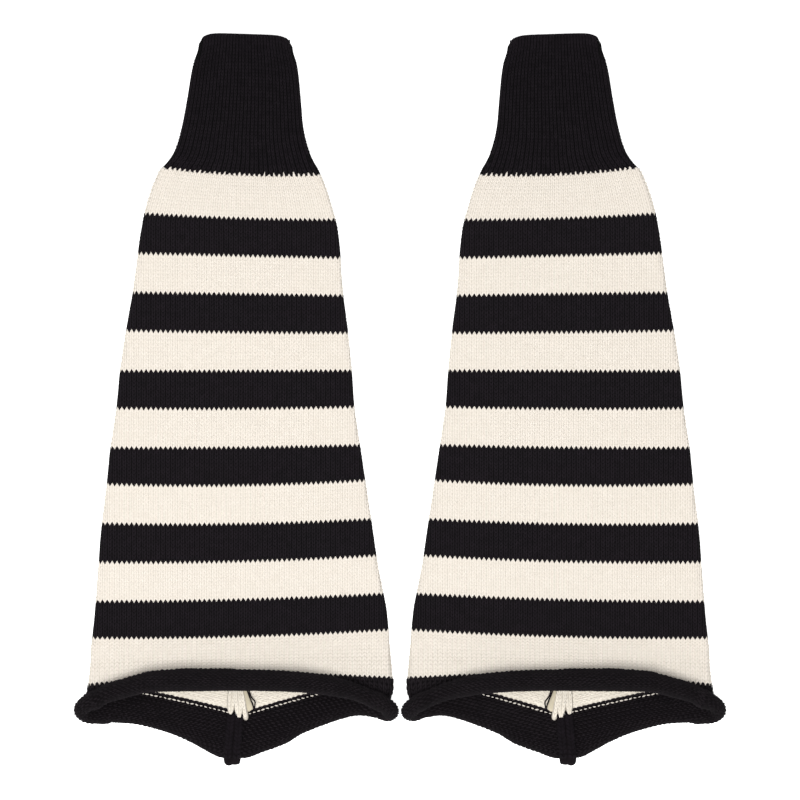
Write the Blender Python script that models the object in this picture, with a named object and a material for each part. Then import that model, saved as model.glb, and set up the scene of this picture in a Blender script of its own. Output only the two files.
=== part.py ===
"""Pair of flared knit leg warmers laid flat side by side, in metres, +Z up.

Each leg is a flattened knit tube: a ribbed cuff at the top, a striped body that
widens all the way down, and a hem band whose edge curls to the outside, so it
makes a roll over the front layer and a smaller roll under the back layer. The
centre back seam drops in a V below the front edge. The right leg mirrors the left.
"""

import bmesh
import bpy
from math import cos, hypot, radians, sin

MM = 0.001

# The pair
LEG_X = 105.6          # middle of each leg from the middle of the pair
TOP_Y = 240.7          # the upper edge of the cuffs
WALL = 2.2             # knit wall
HEM_WALL = 2.0         # wall of the curled hem band
JOIN = 0.3             # space left between pieces that are knitted or sewn together

# Points round one ring, from the left fold over the front, and back under it
FRONT_POINTS = 15
FOLD_POINTS = 5
BACK_POINTS = 15

# Ribs of the cuff
RIBS_FRONT = 26
RIB_VALLEY_PAIR = 0.45  # how much higher the valley inside a pair of ribs is, at the bottom

# Centre back seam
CHEVRON_X = 0.6        # where the back drops most, near the seam
CHEVRON_POWER = 1.12

# Back layer lifts off the floor near the hem, where it lies on its own roll
LIFT_START = 409.9
LIFT = 8.4

# Curled hem
CURL_POINTS = 12
CURL_TURN = 325.0
EAR_Z = 11.2
EAR_LEFT_X = -95.2
EAR_RIGHT_X = 91.4
EAR_REACH = {"left": 8.7, "right": 7.3}
EAR_RADIUS = {"left": 5.3, "right": 6.1}
EAR_SAG = {"left": 1.5, "right": 3.6}
EAR_FRONT_RISE = 6.1
EAR_BACK_DROP = 6.0
BACK_ROLL_RADIUS = 5.2
ROLL_MID_Z = 22.0

CUFF_BLACK = (0.0093, 0.0075, 0.0097)
STRIPE_BLACK = (0.0123, 0.0103, 0.0116)
HEM_BLACK = (0.0137, 0.0116, 0.0123)
CREAM = (0.905, 0.847, 0.745)
SEAM_CREAM = (0.831, 0.753, 0.604)
SEAM_BLACK = (0.0103, 0.0085, 0.0103)

# Outline of the left leg: depth below the cuff's upper edge, and how far the two
# folds are from the leg's middle.
OUTLINE = (
    # down, left fold, right fold
    (0.0, -27.0, 34.3),
    (10.6, -28.4, 35.6),
    (23.8, -31.7, 38.3),
    (43.6, -35.0, 40.3),
    (63.4, -38.9, 42.2),
    (76.6, -42.9, 45.5),
    (83.2, -46.9, 48.2),
    (89.8, -52.8, 52.1),
    (96.4, -56.1, 54.8),
    (103.0, -58.7, 57.4),
    (116.2, -62.7, 61.4),
    (129.4, -65.3, 64.7),
    (169.0, -70.6, 68.0),
    (195.4, -75.2, 71.3),
    (221.8, -79.2, 73.9),
    (248.2, -81.8, 75.9),
    (274.6, -85.8, 79.9),
    (301.0, -88.4, 83.8),
    (327.4, -91.7, 87.8),
    (353.8, -93.7, 91.7),
    (380.2, -95.7, 96.4),
    (406.6, -98.3, 98.3),
    (427.7, -101.0, 101.0),
)

# Knit courses of the cuff. Depths are on the front: at the left fold, in the middle
# and at the right fold. Corner says how square the course turns down at the folds.
CUFF_COURSES = (
    # left, middle, right, corner, back drop, rib height, rounding at the folds
    (2.2, 0.0, 4.0, 7.0, -0.6, 0.35, 4.6),
    (12.2, 9.2, 14.2, 4.0, -0.2, 0.70, 1.2),
    (31.7, 29.7, 33.0, 2.0, 0.6, 0.70, 0.0),
    (51.5, 51.5, 52.8, 2.0, 1.6, 0.75, 0.0),
    (67.3, 69.3, 68.6, 2.0, 2.8, 0.80, 0.0),
    (78.5, 81.2, 79.9, 2.0, 3.9, 0.80, 0.0),
    (88.4, 92.8, 92.8, 2.0, 4.9, 0.45, 0.0),
)

# Courses of the body, one at each change of yarn and a few between. Front heights
# are those of the front layer's inner face above the floor.
BODY_COURSES = (
    # left, middle, right, back drop, front height at folds, in the middle, yarn below
    (88.7, 93.2, 93.2, 4.9, 3.0, 3.0, "cream"),
    (97.2, 101.4, 101.0, 5.8, 3.0, 3.0, "cream"),
    (107.4, 111.2, 111.3, 6.6, 3.0, 3.1, "cream"),
    (118.5, 121.5, 122.4, 7.4, 3.0, 3.1, "black"),
    (144.9, 146.4, 147.8, 8.6, 3.0, 3.1, "cream"),
    (170.6, 171.4, 172.5, 9.8, 3.0, 3.1, "black"),
    (195.9, 197.0, 197.4, 11.0, 3.0, 3.1, "cream"),
    (222.2, 222.2, 222.0, 12.3, 3.0, 3.1, "black"),
    (247.1, 247.4, 246.2, 13.7, 3.0, 3.1, "cream"),
    (272.9, 272.7, 271.2, 15.2, 3.0, 3.1, "black"),
    (297.2, 297.9, 294.8, 16.8, 3.0, 3.2, "cream"),
    (322.9, 323.1, 320.0, 18.6, 3.0, 3.2, "black"),
    (348.6, 348.1, 344.3, 20.5, 3.0, 3.2, "cream"),
    (374.2, 373.0, 369.3, 22.7, 3.0, 3.6, "black"),
    (398.6, 397.6, 393.4, 24.2, 3.4, 5.6, "cream"),
    (414.6, 411.7, 409.9, 24.9, 4.9, 9.4, "cream"),
    (429.6, 422.9, 425.2, 25.2, 8.0, 13.4, "end"),
)

# Roll of the front edge: how far down its lower and upper edges lie.
FRONT_ROLL = (
    # across, lower edge, upper edge
    (-95.2, 445.5, 430.9),
    (-88.6, 441.6, 427.4),
    (-83.8, 439.7, 425.8),
    (-77.2, 437.8, 423.7),
    (-66.0, 434.8, 420.6),
    (-58.3, 433.4, 418.9),
    (-26.4, 432.7, 417.0),
    (0.0, 432.4, 417.4),
    (39.6, 433.5, 419.1),
    (58.1, 435.6, 421.4),
    (75.9, 439.2, 426.4),
    (91.4, 445.7, 432.8),
)

# Lower edge of the back layer's roll, which drops in a V to the seam.
BACK_ROLL = (
    # across, lower edge
    (-95.2, 454.6),
    (-90.4, 454.9),
    (-84.0, 454.0),
    (-72.6, 454.6),
    (-66.0, 455.6),
    (-59.4, 457.1),
    (-52.8, 458.9),
    (-46.2, 461.0),
    (-38.9, 463.9),
    (-29.2, 468.5),
    (-19.8, 473.7),
    (-11.0, 477.2),
    (0.7, 477.5),
    (15.6, 473.2),
    (29.7, 467.2),
    (39.6, 462.1),
    (53.2, 456.4),
    (66.0, 451.9),
    (78.5, 449.4),
    (91.4, 451.0),
)

# Sections of the seam, seen along it: three soft folds of cream edge, and two
# columns of black edge with a groove between.
CREAM_SECTION = (
    # across, height
    (-8.2, 0.0),
    (-7.6, 1.6),
    (-5.6, 1.6),
    (-4.4, 0.9),
    (-3.4, 2.5),
    (-0.6, 2.8),
    (0.6, 1.2),
    (1.8, 2.0),
    (4.4, 1.8),
    (5.6, 0.0),
)
BLACK_SECTION = (
    # across, height
    (-5.6, 0.0),
    (-5.5, 1.6),
    (-4.4, 2.3),
    (-1.4, 2.3),
    (-0.1, 1.6),
    (1.2, 2.3),
    (4.2, 2.3),
    (5.5, 1.6),
    (5.6, 0.0),
)

# Seam ridge down the inside of the back layer.
SEAM_UPPER = (
    # down, across, width factor, height factor
    (424.0, -0.9, 0.90, 0.60),
    (432.0, -0.6, 0.95, 0.85),
    (441.0, -0.2, 1.00, 1.00),
    (447.2, 0.1, 0.98, 0.95),
    (449.8, 0.4, 0.84, 0.70),
)
SEAM_LOWER = (
    # down, across, width factor, height factor
    (450.2, -3.1, 1.00, 0.90),
    (457.0, -3.6, 1.00, 0.97),
    (464.0, -4.1, 1.02, 1.00),
    (470.5, -4.6, 1.02, 1.04),
)
TAB_TURN = (58.0, 34.0, 12.0, -10.0, -28.0)
TAB_X = -5.1
TAB_WIDTH = 0.98
TAB_HEIGHT = 1.95


def between(a, b, t):
    return a + (b - a) * t


def look_up(table, key, column):
    """Value of a table's column at a depth or position, its rows joined by lines."""
    if key <= table[0][0]:
        return table[0][column]
    for low, high in zip(table, table[1:]):
        if key <= high[0]:
            return between(low[column], high[column], (key - low[0]) / (high[0] - low[0]))
    return table[-1][column]


def smooth(t):
    t = min(1.0, max(0.0, t))
    return t * t * (3.0 - 2.0 * t)


def back_edge(x):
    return look_up(BACK_ROLL, x, 1)


def back_lift(x, down):
    """Height of the back layer's lower face above the floor."""
    return LIFT * smooth((down - LIFT_START) / (back_edge(x) - LIFT_START))


def chevron(s):
    """Share of the back drop at a place across, none at the folds and all at the seam."""
    seam = CHEVRON_X / 90.0
    reach = (1.0 + seam) if s < seam else (1.0 - seam)
    return (1.0 - min(1.0, abs(s - seam) / reach)) ** CHEVRON_POWER


def ring_places(front, fold, back):
    """Places round a ring: front, right fold, back, left fold, as (part, value) pairs."""
    places = [("front", -1.0 + 2.0 * i / (front - 1)) for i in range(front)]
    places += [("right", 90.0 - 180.0 * (i + 1) / (fold + 1)) for i in range(fold)]
    places += [("back", 1.0 - 2.0 * i / (back - 1)) for i in range(back)]
    places += [("left", -90.0 - 180.0 * (i + 1) / (fold + 1)) for i in range(fold)]
    return places


def course(left, middle, right, corner, drop, fold_z, mid_z, wall):
    """Measures of one knit course round the flattened tube."""
    x_left = look_up(OUTLINE, left, 1)
    x_right = look_up(OUTLINE, right, 2)
    half = [max(0.25, 0.5 * (fold_z - back_lift(x, y) - wall))
            for x, y in ((x_left, left), (x_right, right))]
    return {
        "left": left, "middle": middle, "right": right, "corner": corner, "drop": drop,
        "fold_z": fold_z, "mid_z": mid_z, "wall": wall, "half": half,
        "x_left": x_left + wall + half[0], "x_right": x_right - wall - half[1],
        "round": 0.0,
    }


def course_down(c, s, front):
    """Depth of the course at a place across the front or the back."""
    straight = between(c["left"], c["right"], 0.5 + 0.5 * s)
    bow = c["middle"] - 0.5 * (c["left"] + c["right"])
    bend = bow * (1.0 - abs(s) ** c["corner"])
    if front:
        return straight + bend
    return straight + 0.5 * bend + c["drop"] * chevron(s)


def course_point(c, place, out):
    """Point of a course's wall; out runs from 0 at the inner face to 1 at the outer, and past it."""
    part, value = place
    wall = c["wall"] * out
    if part in ("front", "back"):
        x = between(c["x_left"], c["x_right"], 0.5 + 0.5 * value)
        down = course_down(c, value, part == "front")
        if part == "front":
            z = between(c["fold_z"], c["mid_z"], 1.0 - value * value) + wall
        else:
            z = back_lift(x, down) + c["wall"] - wall
        return (x, down, z)
    side = 0 if part == "left" else 1
    x = c["x_left"] if side == 0 else c["x_right"]
    down = c["left"] if side == 0 else c["right"]
    half = c["half"][side]
    turn = radians(value)
    down += c["round"] * abs(cos(turn))
    return (x + (half + wall) * cos(turn), down, c["fold_z"] - half + (half + wall) * sin(turn))


def to_scene(point):
    """Leg measures in millimetres to scene metres, for the left leg."""
    x, down, z = point
    return ((x - LEG_X) * MM, (TOP_Y - down) * MM, z * MM)


def wall_mesh(outer, inner):
    """Closed tube wall from rings of outer points and matching rings of inner points."""
    verts = [p for ring in outer for p in ring] + [p for ring in inner for p in ring]
    rows, count = len(outer), len(outer[0])
    inner_at = rows * count
    faces = []
    for r in range(rows - 1):
        for k in range(count):
            a, b = r * count + k, r * count + (k + 1) % count
            c, d = b + count, a + count
            faces.append((a, b, c, d))
            faces.append((inner_at + b, inner_at + a, inner_at + d, inner_at + c))
    for k in range(count):
        n = (k + 1) % count
        last = (rows - 1) * count
        faces.append((n, k, inner_at + k, inner_at + n))
        faces.append((last + k, last + n, inner_at + last + n, inner_at + last + k))
    return verts, faces


def sweep_mesh(sections, closed):
    """Solid from like polygons set along a path, joined in a loop or capped."""
    count, rows = len(sections[0]), len(sections)
    verts = [p for section in sections for p in section]
    faces = []
    for r in range(rows if closed else rows - 1):
        n = (r + 1) % rows
        for k in range(count):
            j = (k + 1) % count
            faces.append((r * count + k, r * count + j, n * count + j, n * count + k))
    if not closed:
        faces.append(tuple(reversed(range(count))))
        faces.append(tuple((rows - 1) * count + k for k in range(count)))
    return verts, faces


def material(name, colour, roughness):
    mat = bpy.data.materials.new(name)
    mat.use_nodes = True
    shader = mat.node_tree.nodes["Principled BSDF"]
    shader.inputs["Base Color"].default_value = (*colour, 1.0)
    shader.inputs["Roughness"].default_value = roughness
    shader.inputs["Sheen Weight"].default_value = 0.3
    return mat


def add_solid(name, verts, faces, mirror, mats, slots=None):
    """New object of the mesh, mirrored for the right leg, its faces turned outward."""
    if mirror:
        verts = [(-x, y, z) for x, y, z in verts]
    mesh = bpy.data.meshes.new(name)
    mesh.from_pydata(verts, [], faces)
    for mat in mats:
        mesh.materials.append(mat)
    if slots:
        for poly, slot in zip(mesh.polygons, slots):
            poly.material_index = slot
    bm = bmesh.new()
    bm.from_mesh(mesh)
    bmesh.ops.recalc_face_normals(bm, faces=bm.faces)
    bm.to_mesh(mesh)
    bm.free()
    for poly in mesh.polygons:
        poly.use_smooth = True
    obj = bpy.data.objects.new(name, mesh)
    bpy.data.collections["leg_warmers"].objects.link(obj)
    return obj


def rib_places():
    """Places round the cuff: three points a rib on the front, plain on the back."""
    places = []
    for i in range(RIBS_FRONT * 3 + 1):
        places.append(("front", -1.0 + 2.0 * i / (RIBS_FRONT * 3)))
    places += [("right", a) for a in (60.0, 30.0, 0.0, -45.0)]
    places += [("back", 1.0 - 2.0 * i / 8.0) for i in range(9)]
    places += [("left", -180.0 + a) for a in (45.0, 0.0, -30.0, -60.0)]
    return places


def rib_rise(index, place, height, row):
    """Rise of a rib over the cuff's outer face, in walls."""
    part, value = place
    if part == "back":
        return 0.0
    if part in ("left", "right"):
        return (0.75 if sin(radians(value)) > -0.1 else 0.3) * height / WALL
    step = index % 3
    if step:
        return height / WALL
    pair = RIB_VALLEY_PAIR * (row / 6.0) if (index // 3) % 2 else 0.0
    return height * pair / WALL


def make_cuff():
    places = rib_places()
    outer, inner = [], []
    for row, (left, middle, right, corner, drop, ribs, rounding) in enumerate(CUFF_COURSES):
        c = course(left, middle, right, corner, drop, 3.0, 3.0, WALL)
        c["round"] = rounding
        c["x_left"] += 0.7 * ribs
        c["x_right"] -= 0.7 * ribs
        outer.append([to_scene(course_point(c, p, 1.0 + rib_rise(i, p, ribs, row)))
                      for i, p in enumerate(places)])
        inner.append([to_scene(course_point(c, p, 0.0)) for p in places])
    return wall_mesh(outer, inner)


def make_body():
    places = ring_places(FRONT_POINTS, FOLD_POINTS, BACK_POINTS)
    outer, inner, yarns = [], [], []
    for left, middle, right, drop, fold_z, mid_z, yarn in BODY_COURSES:
        c = course(left, middle, right, 2.0, drop, fold_z, mid_z, WALL)
        outer.append([to_scene(course_point(c, p, 1.0)) for p in places])
        inner.append([to_scene(course_point(c, p, 0.0)) for p in places])
        yarns.append(0 if yarn == "cream" else 1)
    verts, faces = wall_mesh(outer, inner)
    count = len(places)
    slots = [yarns[i // (2 * count)] for i in range(2 * count * (len(outer) - 1))]
    slots += [0] * (2 * count)
    return verts, faces, slots


def roll_path(place):
    """Centre, radius and outward turn of the hem's roll at a place round the mouth."""
    part, value = place
    if part == "front":
        x = between(EAR_LEFT_X, EAR_RIGHT_X, 0.5 + 0.5 * value)
        low, high = look_up(FRONT_ROLL, x, 1), look_up(FRONT_ROLL, x, 2)
        slope = (look_up(FRONT_ROLL, x + 4.0, 1) - look_up(FRONT_ROLL, x - 4.0, 1)) / 8.0
        radius = 0.5 * (low - high) / hypot(1.0, slope)
        z = between(EAR_Z + EAR_FRONT_RISE, ROLL_MID_Z, smooth(1.6 * (1.0 - abs(value))))
        return (x, 0.5 * (low + high), z), radius, 90.0
    if part == "back":
        x = between(EAR_LEFT_X, EAR_RIGHT_X, 0.5 + 0.5 * value)
        slope = (back_edge(x + 4.0) - back_edge(x - 4.0)) / 8.0
        down = back_edge(x) - BACK_ROLL_RADIUS * hypot(1.0, slope)
        return (x, down, BACK_ROLL_RADIUS), BACK_ROLL_RADIUS, -90.0
    centre = EAR_LEFT_X if part == "left" else EAR_RIGHT_X
    turn = radians(value)
    share = 0.5 - 0.5 * sin(turn)
    edge = -1.0 if part == "left" else 1.0
    first, radius_first, _ = roll_path(("front", edge))
    last, radius_last, _ = roll_path(("back", edge))
    down = between(first[1], last[1], share)
    rise = EAR_FRONT_RISE if sin(turn) > 0.0 else EAR_BACK_DROP
    radius = between(between(radius_first, radius_last, share), EAR_RADIUS[part], abs(cos(turn)))
    down += EAR_SAG[part] * abs(cos(turn))
    return (centre + EAR_REACH[part] * cos(turn), down, EAR_Z + rise * sin(turn)), radius, value


def cross(a, b):
    return (a[1] * b[2] - a[2] * b[1], a[2] * b[0] - a[0] * b[2], a[0] * b[1] - a[1] * b[0])


def unit(a):
    size = hypot(*a)
    return tuple(v / size for v in a)


def roll_frame(places, k):
    """Centre, radius and the two directions of the hem's section at one station."""
    count = len(places)
    centre, radius, turn = roll_path(places[k])
    before = roll_path(places[(k - 1) % count])[0]
    after = roll_path(places[(k + 1) % count])[0]
    along = unit(tuple(b - a for a, b in zip(before, after)))
    out = (cos(radians(turn)), 0.0, sin(radians(turn)))
    side = sum(a * b for a, b in zip(out, along))
    out = unit(tuple(o - side * a for o, a in zip(out, along)))
    down = unit(cross(along, out))
    if down[1] < 0.0:
        down = tuple(-v for v in down)
    return centre, radius, down, out


def curl_radius(radius, turned):
    """Outer radius of the curl, drawn in over its second half so it clears the wall."""
    tight = (radius - HEM_WALL - 0.4) / 0.87
    return between(radius, min(tight, radius * 0.86), smooth((turned - 150.0) / (CURL_TURN - 150.0)))


def make_hem():
    places = ring_places(FRONT_POINTS, FOLD_POINTS, BACK_POINTS)
    left, middle, right, drop, fold_z, mid_z, _ = BODY_COURSES[-1]
    join = course(left + JOIN, middle + JOIN, right + JOIN, 2.0, drop, fold_z, mid_z, WALL)
    turns = [CURL_TURN * i / CURL_POINTS for i in range(CURL_POINTS + 1)]
    sections = []
    for k, place in enumerate(places):
        centre, radius, down, out = roll_frame(places, k)

        def at(turned, depth):
            size = curl_radius(radius, turned) - depth
            a, b = size * sin(radians(turned)), -size * cos(radians(turned))
            return tuple(c + a * d + b * o for c, d, o in zip(centre, down, out))

        face_in = [at(t, 0.0) for t in turns]
        face_out = [at(t, HEM_WALL) for t in reversed(turns)]
        points = [course_point(join, place, 0.0)] + face_in + face_out + [course_point(join, place, 1.0)]
        sections.append([to_scene(p) for p in points])
    return sweep_mesh(sections, True)


def seam_section(section, x, down, z, along, width, height):
    """The seam's section set across the path at a point of the back layer."""
    up = (0.0, along[2], -along[1])
    if up[2] < 0.0 or (abs(up[2]) < 1e-9 and up[1] < 0.0):
        up = tuple(-v for v in up)
    return [(x + across * width, down + up[1] * high * height, z + up[2] * high * height)
            for across, high in section]


def layer_top(x, down):
    return back_lift(x, down) + WALL


def make_seam_upper():
    sections = []
    for down, x, width, height in SEAM_UPPER:
        rise = (layer_top(x, down + 2.0) - layer_top(x, down - 2.0)) / 4.0
        along = unit((0.0, 1.0, rise))
        sections.append(seam_section(CREAM_SECTION, x, down, layer_top(x, down) + JOIN, along, width, height))
    return sweep_mesh([[to_scene(p) for p in s] for s in sections], False)


def make_seam_lower():
    """Ridge over the black band that wraps the lower roll as a small tab."""
    sections = []
    for down, x, width, height in SEAM_LOWER:
        rise = (layer_top(x, down + 2.0) - layer_top(x, down - 2.0)) / 4.0
        along = unit((0.0, 1.0, rise))
        sections.append(seam_section(BLACK_SECTION, x, down, layer_top(x, down) + JOIN, along, width, height))
    centre = roll_path(("back", TAB_X / 93.0))[0]
    for turn in TAB_TURN:
        a, b = cos(radians(turn)), sin(radians(turn))
        reach = BACK_ROLL_RADIUS + JOIN + 0.15
        sections.append([(TAB_X + across * TAB_WIDTH,
                          centre[1] + a * (reach + high * TAB_HEIGHT),
                          centre[2] + b * (reach + high * TAB_HEIGHT))
                         for across, high in BLACK_SECTION])
    return sweep_mesh([[to_scene(p) for p in s] for s in sections], False)


def build():
    for obj in list(bpy.data.objects):
        bpy.data.objects.remove(obj, do_unlink=True)
    group = bpy.data.collections.new("leg_warmers")
    bpy.context.scene.collection.children.link(group)
    black_cuff = material("black rib knit", CUFF_BLACK, 0.95)
    cream = material("cream plain knit", CREAM, 0.95)
    black = material("black plain knit", STRIPE_BLACK, 0.95)
    hem_black = material("black curled hem knit", HEM_BLACK, 0.95)
    seam_cream = material("cream seam edge", SEAM_CREAM, 0.95)
    seam_black = material("black seam edge", SEAM_BLACK, 0.95)
    for side, mirror in (("left", False), ("right", True)):
        add_solid("cuff_" + side, *make_cuff(), mirror, [black_cuff])
        verts, faces, slots = make_body()
        add_solid("body_" + side, verts, faces, mirror, [cream, black], slots)
        add_solid("hem_" + side, *make_hem(), mirror, [hem_black])
        add_solid("seam_upper_" + side, *make_seam_upper(), mirror, [seam_cream])
        add_solid("seam_lower_" + side, *make_seam_lower(), mirror, [seam_black])


build()
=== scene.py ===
"""Pair of flared knit leg warmers, laid flat on a pale floor and seen from straight above.

Each leg is one flattened tube of knitting: a black ribbed cuff, a body in cream and
black stripes, and a black hem that curls to the outside. The cloth is a thin wall, and
the stitches of its visible faces are small strands of yarn that lie on it.
"""

import bmesh
import bpy
import numpy as np
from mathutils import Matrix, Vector


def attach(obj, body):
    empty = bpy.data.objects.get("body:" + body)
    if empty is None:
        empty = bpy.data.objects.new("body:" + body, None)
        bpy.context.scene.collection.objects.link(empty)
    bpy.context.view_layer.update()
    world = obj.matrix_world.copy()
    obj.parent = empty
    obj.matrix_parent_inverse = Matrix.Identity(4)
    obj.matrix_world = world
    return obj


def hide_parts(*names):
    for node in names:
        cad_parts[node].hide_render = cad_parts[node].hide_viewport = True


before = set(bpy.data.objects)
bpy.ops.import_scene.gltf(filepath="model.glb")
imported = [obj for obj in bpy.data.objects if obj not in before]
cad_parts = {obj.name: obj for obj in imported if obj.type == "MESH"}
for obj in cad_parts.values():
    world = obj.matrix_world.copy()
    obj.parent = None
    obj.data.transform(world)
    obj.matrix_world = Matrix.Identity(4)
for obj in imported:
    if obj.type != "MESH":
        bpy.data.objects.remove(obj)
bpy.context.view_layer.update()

MM = 0.001

# Places and sizes in millimetres, measured from the middle of the left leg and down
# from the upper edge of its cuff.
LEG_X = 105.6
TOP_Y = 240.7
WALL = 2.2           # thickness of the body's and the cuff's cloth
HEM_WALL = 2.0       # thickness of the hem's cloth
JOIN = 0.02          # gap between the body and the hem
WALE = 3.2           # width of one stitch column of the body
COURSE = 2.54        # height of one row of stitches
RIBS_ROUND = 66      # columns of ribs once round the cuff
PAIR_SHIFT = 0.02    # how far the two ribs of a pair lean together, in columns
CUFF_ROWS = 40
BODY_ROWS = 132
STITCH_DEPTH = 0.35  # how far the cloth lies below the tops of its stitches

HALF_TURN = 3.14159  # radians
HALF_AT_HEM = 90.0   # half the leg's width at the hem, where the next two are measured
SEAM_X = -2.9        # where the back seam runs
CHEVRON_X = 1.4      # where the back drops most, near the seam
CHEVRON_POWER = 1.12
CORNER = 4.6         # how far the cuff's upper corners are rounded off at the folds
CORNER_ROW = -34.0   # where that rounding starts, and over how many rows it grows
CORNER_ROWS = 6.0
LIFT_START = 409.9   # where the back layer starts to rise off the floor, and how high it gets
LIFT = 8.4
CURL_TURN = 325.0    # how far the hem curls, in degrees
TIGHT_TURN = 150.0   # where the curl starts to tighten
FRONT_SHARE = 0.27   # half the front's share of the way round the mouth
FRONT_TURN = 265.0   # how far round the curl its stitches reach at the front, and at the back
BACK_TURN = 150.0
UNDER_TURN = 2.3     # radians round a fold, past which the cloth can't be seen from above
FADE_TURN = 1.3      # radians round a fold, over which the raised knit fades
DASH_SPACING = 0.95  # stitch columns for each dash of the yarn change
BACK_ROLL_RADIUS = 5.2
ROLL_MID_Z = 22.0    # height of the front roll's centre in the middle

# Ears: the hem's two folded corners, from the front roll round to the back one.
EAR_Z = 11.2
EAR_LEFT_X = -95.2
EAR_RIGHT_X = 91.4
EAR_REACH = (8.8, 7.8)   # left, right
EAR_RADIUS = (5.1, 5.6)
EAR_SAG = (1.5, 3.7)
EAR_POINT = (1.3, 1.0)   # the left ear is the more pointed one
EAR_FRONT_RISE = 6.1
EAR_BACK_DROP = 6.0

# What shows inside the mouth, measured across from the leg's middle and down the back layer.
MOUTH_HALF = 74.0
INSIDE_FROM = 399.0
INSIDE_TOP = 11.0        # faces of the back layer lie below this height
SEAM_HALF = 5.3          # the dashes stop at the seam, this far to each side of it
DASH_SEAM_X = -2.7

# Folded edges of the leg.
OUTLINE = (
    # down, left fold, right fold
    (0.0, -27.0, 34.3), (10.6, -28.4, 35.6), (23.8, -31.7, 38.3), (43.6, -35.0, 40.3),
    (63.4, -38.9, 42.2), (76.6, -42.9, 45.5), (83.2, -46.9, 48.2), (89.8, -52.8, 52.1),
    (96.4, -56.1, 54.8), (103.0, -58.7, 57.4), (116.2, -62.7, 61.4), (129.4, -65.3, 64.7),
    (169.0, -70.6, 68.0), (195.4, -75.2, 71.3), (221.8, -79.2, 73.9), (248.2, -81.8, 75.9),
    (274.6, -85.8, 79.9), (301.0, -88.4, 83.8), (327.4, -91.7, 87.8), (353.8, -93.7, 91.7),
    (380.2, -95.7, 96.9), (406.6, -98.3, 99.1), (420.0, -99.0, 100.4), (429.6, -100.2, 101.4),
)

# Rows of knitting. Depth is that of the front at its folds and middle, drop is how much
# lower the back lies at the seam, and the heights are of the front's inner face.
COURSES = (
    # row, left, middle, right, corner, drop, height at folds, in the middle, middle wale
    (-40, 2.2, 0.0, 4.0, 7.0, -0.6, 3.0, 3.0, 3.4),
    (-36, 12.2, 9.2, 14.2, 4.0, -0.2, 3.0, 3.0, 3.4),
    (-27, 31.7, 29.7, 33.0, 2.0, 0.6, 3.0, 3.0, 3.2),
    (-17.5, 51.5, 51.5, 52.8, 2.0, 1.6, 3.0, 3.0, 2.4),
    (-9.8, 67.3, 69.3, 68.6, 2.0, 2.8, 3.0, 3.0, 1.4),
    (-4.7, 78.5, 81.2, 79.9, 2.0, 3.9, 3.0, 3.0, 1.0),
    (0, 88.7, 93.2, 93.2, 2.0, 4.9, 3.0, 3.0, -0.4),
    (3.6, 97.2, 101.4, 101.0, 2.0, 5.8, 3.0, 3.0, -0.7),
    (7.7, 107.4, 111.2, 111.3, 2.0, 6.6, 3.0, 3.1, -0.9),
    (12, 118.5, 121.5, 122.4, 2.0, 7.4, 3.0, 3.1, -1.0),
    (22, 144.9, 146.4, 147.8, 2.0, 8.6, 3.0, 3.1, -1.0),
    (32, 170.6, 171.4, 172.5, 2.0, 9.8, 3.0, 3.1, -1.0),
    (42, 195.9, 197.0, 197.4, 2.0, 11.0, 3.0, 3.1, -1.0),
    (52, 222.2, 222.2, 222.0, 2.0, 12.3, 3.0, 3.1, -1.0),
    (62, 247.1, 247.4, 246.2, 2.0, 13.7, 3.0, 3.1, -1.0),
    (72, 272.9, 272.7, 271.2, 2.0, 15.2, 3.0, 3.1, -1.0),
    (82, 297.2, 297.9, 294.8, 2.0, 16.8, 3.0, 3.2, -1.0),
    (92, 322.9, 323.1, 320.0, 2.0, 18.6, 3.0, 3.2, -1.0),
    (102, 348.6, 348.1, 344.3, 2.0, 20.5, 3.0, 3.2, -1.0),
    (112, 374.2, 373.0, 369.3, 2.0, 22.7, 3.0, 3.6, -1.0),
    (122, 398.6, 397.6, 393.4, 2.0, 24.2, 3.4, 5.6, -1.0),
    (127.6, 414.6, 411.7, 409.9, 2.0, 24.9, 4.9, 9.4, -1.0),
    (132, 429.6, 422.9, 425.2, 2.0, 24.4, 8.0, 13.4, -1.0),
)
LAST_STEP = 10.0 / 12.0   # the last cream stripe has twelve courses
STRIPE_ROWS = (0, 12, 22, 32, 42, 52, 62, 72, 82, 92, 102, 112, 122, 132)

FRONT_ROLL = (
    # across, lower edge, upper edge
    (-95.2, 445.5, 430.9), (-88.6, 441.6, 427.4), (-83.8, 439.7, 425.8), (-77.2, 437.8, 423.7),
    (-66.0, 434.8, 420.6), (-58.3, 433.4, 418.9), (-26.4, 432.7, 417.0), (0.0, 432.4, 417.4),
    (39.6, 433.5, 419.1), (58.1, 435.6, 421.4), (75.9, 439.2, 426.4), (91.4, 445.7, 432.8),
)
BACK_ROLL = (
    # across, lower edge
    (-95.2, 454.6), (-90.4, 454.9), (-84.0, 454.0), (-72.6, 454.6), (-66.0, 455.6),
    (-59.4, 457.1), (-52.8, 458.9), (-46.2, 461.0), (-38.9, 463.9), (-29.2, 468.5),
    (-19.8, 473.7), (-11.0, 477.2), (0.7, 477.5), (15.6, 473.2), (29.7, 467.9),
    (39.6, 462.1), (53.2, 456.4), (66.0, 451.9), (78.5, 449.4), (91.4, 451.0),
)

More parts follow.
